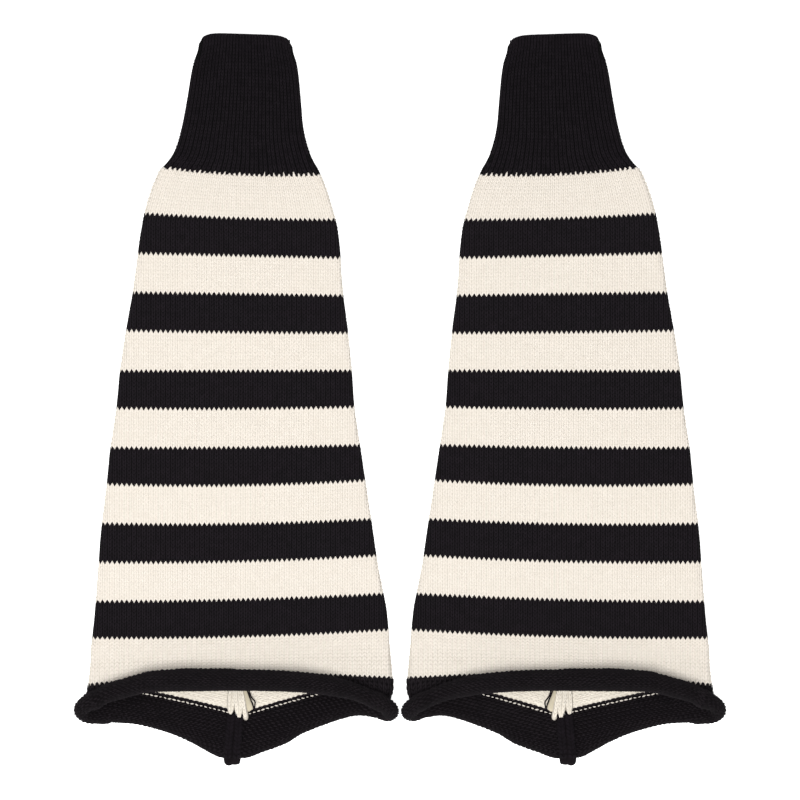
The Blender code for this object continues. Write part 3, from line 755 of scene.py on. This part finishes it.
def stitch_tree():
    """Geometry nodes that set a loop form on every point of a piece's stitch plan."""
    tree = bpy.data.node_groups.new("set stitches", "GeometryNodeTree")
    face = tree.interface
    face.new_socket("Plan", in_out="INPUT", socket_type="NodeSocketGeometry")
    face.new_socket("Loop form", in_out="INPUT", socket_type="NodeSocketObject")
    for name in STITCH_INPUTS[2:-1]:
        face.new_socket(name, in_out="INPUT", socket_type="NodeSocketFloat")
    face.new_socket("Seed", in_out="INPUT", socket_type="NodeSocketInt")
    face.new_socket("Yarn", in_out="INPUT", socket_type="NodeSocketMaterial")
    face.new_socket("Stitches", in_out="OUTPUT", socket_type="NodeSocketGeometry")
    given = add(tree, "NodeGroupInput").outputs
    out, up, cell = (add(tree, "GeometryNodeInputNamedAttribute", {"Name": kind}, data_type="FLOAT_VECTOR")
                     .outputs["Attribute"] for kind in ("out", "up", "cell"))
    turn = add(tree, "FunctionNodeAxesToRotation", {"Primary Axis": out, "Secondary Axis": up},
               primary_axis="Z", secondary_axis="Y")
    # every stitch turns a little about the cloth's outward direction
    least = reckon(tree, "MULTIPLY", given["Wander"], -1.0)
    swing = add(tree, "FunctionNodeRandomValue", {2: least, 3: given["Wander"], "Seed": given["Seed"]},
                data_type="FLOAT")
    twist = add(tree, "FunctionNodeAxisAngleToRotation", {"Axis": (0.0, 0.0, 1.0), "Angle": swing.outputs[1]})
    turned = add(tree, "FunctionNodeRotateRotation",
                 {"Rotation": turn.outputs[0], "Rotate By": twist.outputs[0]}, rotation_space="LOCAL")
    # and fills its own cell of the plan, some a little more and some less
    small = reckon(tree, "SUBTRACT", 1.0, given["Size spread"])
    large = reckon(tree, "ADD", 1.0, given["Size spread"])
    next_seed = reckon(tree, "ADD", given["Seed"], 1.0)
    spread = add(tree, "FunctionNodeRandomValue", {2: small, 3: large, "Seed": next_seed}, data_type="FLOAT")
    sizes = add(tree, "ShaderNodeCombineXYZ", {0: given["Width"], 1: given["Height"], 2: given["Rise"]})
    fitted = add(tree, "ShaderNodeVectorMath", {0: cell, 1: sizes.outputs[0]}, operation="MULTIPLY")
    scaled = add(tree, "ShaderNodeVectorMath", {0: fitted.outputs[0], "Scale": spread.outputs[1]},
                 operation="SCALE")
    form = add(tree, "GeometryNodeObjectInfo", {"Object": given["Loop form"]})
    points = add(tree, "GeometryNodeInstanceOnPoints", {
        "Points": given["Plan"], "Instance": form.outputs["Geometry"],
        "Rotation": turned.outputs[0], "Scale": scaled.outputs[0]})
    real = add(tree, "GeometryNodeRealizeInstances", {"Geometry": points.outputs[0]})
    soft = add(tree, "GeometryNodeSetShadeSmooth", {"Geometry": real.outputs[0]})
    dyed = add(tree, "GeometryNodeSetMaterial", {"Geometry": soft.outputs[0], "Material": given["Yarn"]})
    add(tree, "NodeGroupOutput", {"Stitches": dyed.outputs[0]})
    return tree


STITCH_TREE = stitch_tree()


def set_stitches(label, side, spots, ups, outs, cells):
    """Grow one kind of loops on a plan of points and return them as one plain piece."""
    name = label + "_" + side
    flip = np.array([1.0, -1.0, 1.0]) * (np.array([-1.0, 1.0, 1.0]) if side == "right" else 1.0)
    places = to_scene(spots, side)
    plan = bpy.data.meshes.new(name + "_plan")
    plan.vertices.add(len(places))
    plan.vertices.foreach_set("co", places.reshape(-1))
    for kind, values in (("up", unit(ups) * flip), ("out", unit(outs) * flip), ("cell", cells)):
        plan.attributes.new(kind, "FLOAT_VECTOR", "POINT").data.foreach_set("vector", values.reshape(-1))
    holder = put(name + "_plan", plan)
    maker = holder.modifiers.new("stitches", "NODES")
    maker.node_group = STITCH_TREE
    wanted = dict(zip(STITCH_INPUTS, STITCHES[label]))
    for item in STITCH_TREE.interface.items_tree:
        if item.item_type == "SOCKET" and item.in_out == "INPUT" and item.name in wanted:
            maker[item.identifier] = wanted[item.name]
    graph = bpy.context.evaluated_depsgraph_get()
    mesh = bpy.data.meshes.new_from_object(holder.evaluated_get(graph), depsgraph=graph)
    mesh.name = name
    bpy.data.objects.remove(holder)
    bpy.data.meshes.remove(plan)
    if not mesh.materials:
        mesh.materials.append(wanted["Yarn"])
    for left_over in [a.name for a in mesh.attributes if a.name in ("up", "out", "cell")]:
        mesh.attributes.remove(mesh.attributes[left_over])
    return put(name, mesh)


def plan_on_cloth(rows, columns, pitch_of, depth, keep, inside=False, step=1.0):
    """Stitch plan on the tube: a place for each row and column, with its directions and size."""
    row, column = np.meshgrid(rows, columns, indexing="ij")
    pitch = pitch_of(row)
    along = column * pitch
    m = fold_measures(row)
    _, _, turned, front, back = spot_on_ring(m, along)
    used = keep(row, along, turned, front, back)
    row, along, pitch = row[used], along[used], pitch[used]
    spot = cloth_point(row, along, depth)
    above, below = row - 0.5 * step, row + 0.5 * step
    up = (cloth_point(above, along * pitch_of(above) / pitch, depth)
          - cloth_point(below, along * pitch_of(below) / pitch, depth))
    side = cloth_point(row, along + 0.25 * pitch, depth) - cloth_point(row, along - 0.25 * pitch, depth)
    out = cloth_point(row, along, depth - 0.3) - cloth_point(row, along, depth)
    if inside:
        out = -out
    tall = np.linalg.norm(up, axis=-1)
    wide = 2.0 * np.linalg.norm(side, axis=-1)
    flatter = 1.0 - 0.7 * smooth(np.where(front, 0.0, turned)[used] / 1.2)
    cells = np.stack([wide / WALE, tall / COURSE, np.ones_like(wide) if inside else flatter], -1)
    return spot, up, out, cells


def body_pitch(row):
    """Width of a stitch column: even below the flare, drawn in toward the cuff."""
    return WALE * np.minimum(1.0, girth(np.minimum(row, 14.0)) / float(girth(np.array(14.0))))


def rib_pitch(row):
    """Width of a rib column of the cuff."""
    return girth(row) / RIBS_ROUND


def on_show(row, along, turned, front, back):
    """The front and the folds, down to where they turn under."""
    return front | (~back & (turned < UNDER_TURN))


def stripe_of(row):
    """Number of the stripe that a row lies in, 0 for the first cream one."""
    return np.searchsorted(STRIPE_ROWS, row, side="right") - 1


def stripe_grid():
    """Rows of points for the body: level ones, and at each change of yarn one that zigzags with
    the stitches. The last stripe has more, for the rise to the roll and the yarn change inside."""
    rows, slots = [], []
    for stripe, (top, foot) in enumerate(zip(STRIPE_ROWS[:-1], STRIPE_ROWS[1:])):
        inner = [top + 1.3, 0.5 * (top + foot), foot - 1.3]
        if foot > STRIPE_ROWS[-3]:
            inner = [top + 1.3, *np.linspace(top + 3.0, foot - 3.0, 3), foot - 1.6, foot - 0.45]
        rows += [(top, 0.5 if stripe else 0.0)] + [(r, 0.0) for r in inner]
        slots += [stripe % 2] * (len(inner) + 1)
    return rows + [(BODY_ROWS, 0.0)], slots


def edge_in_black(cloth, side):
    """Yarn of the body's inner face by the mouth: cream, and black on the last of it and on the
    lower rim, above the dashes of the change of yarn."""
    mesh = cloth.data
    spots = np.array([tuple(p.center) for p in mesh.polygons]) / MM
    down = TOP_Y - spots[:, 1]
    across = spots[:, 0] + LEG_X if side == "left" else -spots[:, 0] + LEG_X
    inside = spots[:, 2] < INSIDE_TOP
    reach = MOUTH_HALF + 4.0
    line = cloth_point(BODY_ROWS, np.linspace(MOUTH_RIGHT - reach, MOUTH_RIGHT, 80), WALL)
    other = cloth_point(BODY_ROWS, np.linspace(-MOUTH_LEFT, -MOUTH_LEFT + reach, 80), WALL)
    both = np.vstack([other[::-1], line])
    both = both[np.argsort(both[:, 0])]
    edge = np.interp(across, both[:, 0], both[:, 1])
    open_to_view = np.abs(across) < MOUTH_HALF + 2.0
    near = inside & open_to_view & (down > edge - 1.2)
    slots = np.zeros(len(mesh.polygons), np.int32)
    mesh.polygons.foreach_get("material_index", slots)
    up = np.array([p.normal.z for p in mesh.polygons])
    back = spots[:, 2] < layer_top(across, down) + 0.5
    slots[back & (down > INSIDE_FROM) & (up > 0.5) & open_to_view] = 2
    slots[near] = 1
    mesh.polygons.foreach_set("material_index", slots)


def tube_cloth(label, side, grid, columns, pitch_of, depth_of, materials, slots=None):
    """Closed wall of a stretch of the tube, on a grid of rows and columns of stitches."""
    ways = on_columns(grid, columns[None, :], pitch_of)
    outer = cloth_point(grid, ways, depth_of(grid, ways))
    inner = cloth_point(grid, ways, WALL)
    marks = np.stack([ways / pitch_of(grid), grid], -1)
    return wall_piece(label, side, outer, inner, marks, materials, slots)


def knit_body(side):
    """Cloth of the body with its plain stitches, cream ones and black ones apart."""
    rows, slots = stripe_grid()
    columns = np.arange(-130, 131) * 0.5
    zigzag = np.where(columns % 1.0 == 0.5, 1.0, -1.0)
    grid = np.array([r + z * zigzag for r, z in rows])
    cloth = tube_cloth("body_cloth", side, grid, columns, body_pitch, lowered,
                       [CREAM_KNIT, BLACK_KNIT, CREAM_PURL], slots)
    edge_in_black(cloth, side)
    columns = np.arange(-50, 51) + 0.5
    loops = []
    for odd, label in enumerate(("body_stitches_cream", "body_stitches_black")):
        wanted = np.array([r for r in np.arange(0.5, STRIPE_ROWS[-2], 1.0) if stripe_of(r) % 2 == odd])
        plan = plan_on_cloth(wanted, columns, body_pitch, STITCH_DEPTH + 0.05, on_show)
        if not odd:
            last = np.arange(STRIPE_ROWS[-2] + 0.5 * LAST_STEP, BODY_ROWS, LAST_STEP)
            more = plan_on_cloth(last, columns, body_pitch, STITCH_DEPTH - 0.1, on_show, step=LAST_STEP)
            plan = tuple(np.concatenate(both) for both in zip(plan, more))
        loops.append(set_stitches(label, side, *plan))
    peaks = np.arange(-34, 35) + 0.0
    plan = plan_on_cloth(np.array([BODY_ROWS - 0.12]), peaks, body_pitch, STITCH_DEPTH, on_show)
    loops.append(set_stitches("first_hem_row", side, *plan))
    return cloth, loops


def knit_inside(side):
    """Purl bumps of the cream cloth where it shows inside the mouth, and the change of yarn."""
    def in_mouth(row, along, turned, front, back):
        return back & (np.abs(cloth_point(row, along, WALL)[..., 0]) < MOUTH_HALF - 2.0)

    columns = np.arange(-64, 64) + 0.5
    rows = np.arange(BODY_ROWS - 1.6 * LAST_STEP, STRIPE_ROWS[-2] - 1.0, -LAST_STEP)
    plan = plan_on_cloth(rows, columns, body_pitch, WALL - 0.05, in_mouth, True, LAST_STEP)
    cream = set_stitches("mouth_purl", side, *plan)
    plan = plan_on_cloth(np.array([BODY_ROWS - 0.55]), columns, body_pitch, WALL + 0.05, in_mouth, True)
    black = set_stitches("yarn_change", side, *plan)
    return [cream, black]


def knit_cuff(side):
    """Cloth of the cuff with its ribs, and the stitches along them."""
    def trimmed(row, along, turned, front, back):
        clear_of_ends = (row > CORNER_ROW) & (row < -4.5)
        return on_show(row, along, turned, front, back) & ((turned < 0.02) | clear_of_ends)

    rows = np.linspace(-CUFF_ROWS, -0.15, 30)
    columns = np.arange(-160, 161) * 0.25
    grid = np.repeat(rows[:, None], len(columns), 1)
    cloth = tube_cloth("cuff_cloth", side, grid, columns, rib_pitch, rib_depth, [BLACK_KNIT])
    columns = np.arange(-25, 25) + 0.5
    columns += np.where(np.floor(columns) % 2 == 0, PAIR_SHIFT, -PAIR_SHIFT)
    plan = plan_on_cloth(np.arange(-CUFF_ROWS + 0.6, 0.0, 1.0), columns, rib_pitch, 0.2, trimmed)
    plan[3][:, 2] *= 0.3 + 0.7 * smooth(plan[0][:, 1] / 16.0)  # flatter towards the top edge
    loops = set_stitches("cuff_stitches", side, *plan)
    columns = np.arange(-17, 18) + 0.0
    plan = plan_on_cloth(np.array([-0.1]), columns, rib_pitch, 0.2, trimmed)
    chance = np.random.default_rng(5)  # the ticks differ in width, and a few are long
    plan[3][:, 0] *= chance.uniform(0.7, 1.3, len(plan[3]))
    plan[3][:, 1] *= 0.5 + 0.8 * chance.random(len(plan[3])) ** 3.0
    ticks = set_stitches("first_cream_row", side, *plan)
    return cloth, [loops, ticks]


def even_ways(way, face_depth, spacing):
    """Places round the hem that lie evenly on its face, counted from the front's middle."""
    fine = np.linspace(-MOUTH_LEFT + 0.5, MOUTH_RIGHT - 0.5, 1201)
    length = lengths(hem_point(fine, way, face_depth)[0])
    length -= np.interp(0.0, fine, length)
    marks = (np.arange(int(length[0] / spacing), int(length[-1] / spacing)) + 0.5) * spacing
    return np.interp(marks, length, fine)


def plan_on_hem(rows, face_depth, keep, sign, spacing=WALE):
    """Stitch plan on the hem's purl or plain face; rows count from the join and round the curl."""
    def point(along, way, depth):
        return hem_point(along, way, depth)[0]

    spots, ups, outs, cells = [], [], [], []
    for row in rows:
        along = even_ways(row * COURSE, face_depth, spacing)
        way = np.full_like(along, row * COURSE)
        _, flat, radius = hem_point(along, way, face_depth)
        used = keep(along, way, flat, radius)
        along, way = along[used], way[used]
        if not len(along):
            continue
        above, below = np.maximum(0.0, way - 0.5 * COURSE), way + 0.5 * COURSE
        up = point(along, above, face_depth) - point(along, below, face_depth)
        spots.append(point(along, way, face_depth))
        ups.append(up)
        outs.append(sign * (point(along, way, face_depth + 0.3) - point(along, way, face_depth)))
        cells.append(np.stack([np.full(len(along), spacing / WALE), np.linalg.norm(up, axis=-1) / COURSE,
                               np.ones(len(along))], -1))
    return tuple(np.concatenate(v) for v in (spots, ups, outs, cells))


def knit_hem(side):
    """The black band: its curled wall, purl bumps where it shows its inside, plain stitches where
    it shows its outside above the roll, and cream dashes where it joins the body inside the mouth."""
    def front(along):
        return np.abs(along) < FRONT_SHARE * (MOUTH_LEFT + MOUTH_RIGHT)

    def outside_of_curl(along, way, flat, radius):
        return np.degrees((way - flat) / radius) < np.where(front(along), FRONT_TURN, BACK_TURN)

    def above_roll(along, way, flat, radius):
        return (way < flat + 1.0) & front(along)

    def at_back(along, way, flat, radius):
        across = on_roll(along)[0][..., 0]
        return ~front(along) & (np.abs(across) < MOUTH_HALF) & (np.abs(across - DASH_SEAM_X) > SEAM_HALF)

    ways = np.linspace(-MOUTH_LEFT, MOUTH_RIGHT, 181)
    _, flat, radius = hem_point(ways, 0.0, 0.0)
    turns = np.linspace(0.0, CURL_TURN, 30)
    section = np.concatenate([np.linspace(0.0, 1.0, 8, endpoint=False)[:, None] * flat[None, :],
                              flat[None, :] + np.radians(turns)[:, None] * radius[None, :]])
    round_all = np.repeat(ways[None, :], len(section), 0)
    purl = hem_point(round_all, section, 0.0)[0]
    plain = hem_point(round_all, section, HEM_WALL)[0]
    marks = np.stack([round_all / WALE, section / COURSE], -1)
    cloth = wall_piece("hem_cloth", side, plain, purl, marks, [BLACK_PURL])
    plan = plan_on_hem(np.arange(0.9, 20.0), 0.15, outside_of_curl, -1.0)
    bumps = set_stitches("hem_purl", side, *plan)
    plan = plan_on_hem(np.arange(0.5, 9.0), HEM_WALL - 0.1, above_roll, 1.0)
    loops = set_stitches("hem_stitches", side, *plan)
    plan = plan_on_hem(np.array([0.06]), -0.25, at_back, -1.0, DASH_SPACING * WALE)
    bars = set_stitches("cream_bars", side, *plan)
    return cloth, [bumps, loops, bars]


# Centre back seam, where it shows in the mouth

def layer_top(x, down):
    """Height of the back layer's upper face, on which the seam lies."""
    return back_lift(x, down) + WALL


def seam_path(stations):
    """Feet and directions of a seam fold that lies on the back layer."""
    fine = np.linspace(stations[0][0], stations[-1][0], 4 * len(stations))
    x, half, high = along_table(stations, fine)
    foot = np.stack([x, fine, layer_top(x, fine) + 0.45], -1)
    rise = (layer_top(x, fine + 1.0) - layer_top(x, fine - 1.0)) / 2.0
    up = unit(np.stack([np.zeros_like(x), -rise, np.ones_like(x)], -1))
    return foot, up, half, high


def fold_piece(label, side, foot, up, half, high, material, profile):
    """Closed fold of cloth swept along its feet; profile gives its height across from -1 to 1."""
    across = np.sin(np.linspace(-0.5, 0.5, 17) * np.pi)
    rows = []
    for f, u, h, t in zip(foot, up, half, high):
        top = [f + np.array([a * h, 0.0, 0.0]) + u * t * profile(a, f) for a in across]
        rows.append(top + [f + np.array([a * h, 0.0, 0.0]) - u * 0.3 for a in across[::-1]])
    ring = len(rows[0])
    verts = np.array(rows).reshape(-1, 3)
    faces = [(r * ring + k, (r + 1) * ring + k, (r + 1) * ring + (k + 1) % ring, r * ring + (k + 1) % ring)
             for r in range(len(rows) - 1) for k in range(ring)]
    piece = add_piece(label, verts, faces, side, [material])
    work = bmesh.new()
    work.from_mesh(piece.data)
    bmesh.ops.holes_fill(work, edges=[e for e in work.edges if e.is_boundary], sides=0)
    bmesh.ops.recalc_face_normals(work, faces=work.faces)
    work.to_mesh(piece.data)
    work.free()
    piece.data.polygons.foreach_set("use_smooth", [True] * len(piece.data.polygons))
    return piece


def stitches_on_fold(label, side, foot, up, half, high, columns, profile, margin):
    """Columns of stitches up a seam fold, ending a margin short of its tip."""
    def at(places, values):
        return np.stack([np.interp(places, length, values[:, i]) for i in range(3)], -1)

    length = lengths(foot)
    marks = np.arange(1.0, length[-1] - margin, COURSE)
    spots, ups, outs, cells = [], [], [], []
    for a, wide in columns:
        raised = up * (high * profile(a, foot[0]))[:, None]
        line = foot + np.stack([a * half, 0 * half, 0 * half], -1) + raised
        over = at(marks, up)
        spots.append(at(marks, line) + 0.12 * over)
        ups.append(at(marks - 0.5, line) - at(marks + 0.5, line))
        outs.append(over)
        room = np.interp(marks, length, half)
        cells.append(np.stack([wide * room / WALE, np.ones_like(room), np.ones_like(room)], -1))
    plan = tuple(np.concatenate(v) for v in (spots, ups, outs, cells))
    return set_stitches(label, side, *plan)


def sew_cream_seam(side):
    """The cream seam edge: its folds with their stitches, and the flap that turns away."""
    def round_top(a, place):
        return np.sqrt(np.maximum(0.0, 1.0 - a * a))

    folds, loops = [], []
    for n, (stations, columns) in enumerate(zip(CREAM_FOLDS, FOLD_COLUMNS)):
        path = seam_path(stations)
        folds.append(fold_piece("seam_fold_%d" % n, side, *path, CREAM_FOLD, round_top))
        loops.append(stitches_on_fold("seam_loops_%d" % n, side, *path, columns, round_top, margin=2.8))
    path = seam_path(CREAM_FLAP)
    folds.append(fold_piece("seam_flap", side, *path, CREAM_FLAP_PAINTED_SHADE, round_top))
    return folds, loops


def sew_black_seam(side):
    """The black seam edge: two columns with a groove between, and the tab that wraps the lower edge."""
    foot, up, half, high = seam_path(BLACK_EDGE)
    centre = roll_path(BODY_ROWS, np.array([MOUTH_RIGHT - 1.8]))[0][0]
    x, wide, tall = TAB
    for turn in TAB_TURNS:
        u = np.array([0.0, np.cos(np.radians(turn)), np.sin(np.radians(turn))])
        foot = np.vstack([foot, [x, *(centre[1:] + u[1:] * (BACK_ROLL_RADIUS + 0.3))]])
        up = np.vstack([up, u])
        half = np.append(half, wide)
        high = np.append(high, TAB_FOOT + (tall - TAB_FOOT) * smooth((TAB_TURNS[0] - turn) / 45.0))

    def profile(a, f):
        """Two columns with a groove between; the tab is square at its right edge and slopes to it."""
        share = smooth((f[1] - TAB_DOWN) / TAB_BLEND)
        power = 5.0 + 11.0 * share if a > 0.0 else 5.0 - 2.0 * share
        squared = (1.0 - np.abs(a) ** power) ** (0.6 - 0.2 * share)
        groove = 0.5 * np.exp(-((a - 0.05) / 0.13) ** 2) * (1.0 - 0.8 * share)
        return max(0.0, squared - groove - 0.32 * share * (a + 1.0) * 0.5)

    edge = fold_piece("seam_edge", side, foot, up, half, high, BLACK_FOLD, profile)
    loops = stitches_on_fold("seam_edge_loops", side, foot, up, half, high, BLACK_COLUMNS, profile,
                             margin=6.0)
    return [edge], [loops]


def loose_thread(side):
    """End of the black yarn left in the mouth: from the change of yarn up under the roll and back."""
    points = []
    for pixel_across, pixel_down, lift in THREAD_ROUTE:
        x, down = (pixel_across - LEG_PIXEL[0]) * PIXEL, (pixel_down - LEG_PIXEL[1]) * PIXEL
        points.append((x, down, float(layer_top(np.array(x), np.array(down))) + lift))
    places = to_scene(np.array(points), side)
    curve = bpy.data.curves.new("loose_thread_" + side, "CURVE")
    curve.dimensions = "3D"
    curve.bevel_depth = 0.5 * THREAD_THICK
    curve.bevel_resolution = 2
    curve.resolution_u = 6
    line = curve.splines.new("NURBS")
    line.points.add(len(places) - 1)
    for point, place in zip(line.points, places):
        point.co = (*place, 1.0)
    line.order_u = 4
    line.use_endpoint_u = True
    curve.materials.append(BLACK_YARN)
    thread = put("loose_thread_" + side, curve)
    length = float(np.sum(np.linalg.norm(np.diff(places, axis=0), axis=-1)))
    return thread, tuple(float(v) for v in places[0]), length


def lay_floor():
    """White lit surface under the pair, which the photograph shows as plain white."""
    mesh = bpy.data.meshes.new("floor")
    mesh.from_pydata([(-3, -3, 0), (3, -3, 0), (3, 3, 0), (-3, 3, 0)], [], [(0, 1, 2, 3)])
    material, tree = new_material("matt acrylic light table")
    shader = add(tree, "ShaderNodeBsdfPrincipled", {
        "Base Color": linear("f2f2f2"), "Roughness": 0.9, "Specular IOR Level": 0.1,
        "Emission Color": linear("ffffff"), "Emission Strength": 0.75})
    add(tree, "ShaderNodeOutputMaterial", {"Surface": shader.outputs["BSDF"]})
    mesh.materials.append(material)
    floor = put("floor", mesh)
    floor.location = (0.0, 0.0, -0.0006)


def flat_cut(low_row, high_row):
    """Width, length and area of a stretch of the tube opened out flat, in metres."""
    rows = np.linspace(low_row, high_row, 60)
    widths = girth(rows)
    downs = fold_measures(rows)["middle"]
    length = downs[-1] - downs[0]
    area = np.sum(0.5 * (widths[:-1] + widths[1:]) * np.diff(downs))
    return float(widths.max()) * MM, float(length) * MM, float(area) * MM * MM


def hand_over(slot, pieces):
    """Put pieces on the part's one body, and hide the CAD piece of that name."""
    for piece in pieces:
        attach(piece, "root")
    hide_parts(slot)


def build():
    """Both legs on the floor, each with its seam, cuff, body, hem and loose thread."""
    lay_floor()
    for side in ("left", "right"):
        upper, upper_loops = sew_cream_seam(side)
        lower, lower_loops = sew_black_seam(side)
        hand_over("seam_upper_" + side, [*upper, *upper_loops])
        hand_over("seam_lower_" + side, [*lower, *lower_loops])

        cloth, loops = knit_cuff(side)
        hand_over("cuff_" + side, [cloth, *loops])
        wide, long, area = flat_cut(-CUFF_ROWS, 0.0)

        cloth, loops = knit_body(side)
        loops += knit_inside(side)
        hand_over("body_" + side, [cloth, *loops])
        wide, long, area = flat_cut(0.0, BODY_ROWS)

        cloth, loops = knit_hem(side)
        hand_over("hem_" + side, [cloth, *loops])
        wide = float(girth(np.array(float(BODY_ROWS)))) * MM

        thread, exit_at, length = loose_thread(side)
        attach(thread, "root")
    for form in (PLAIN, PURL, BAR, TICK, PEAK):
        bpy.data.objects.remove(form)


build()
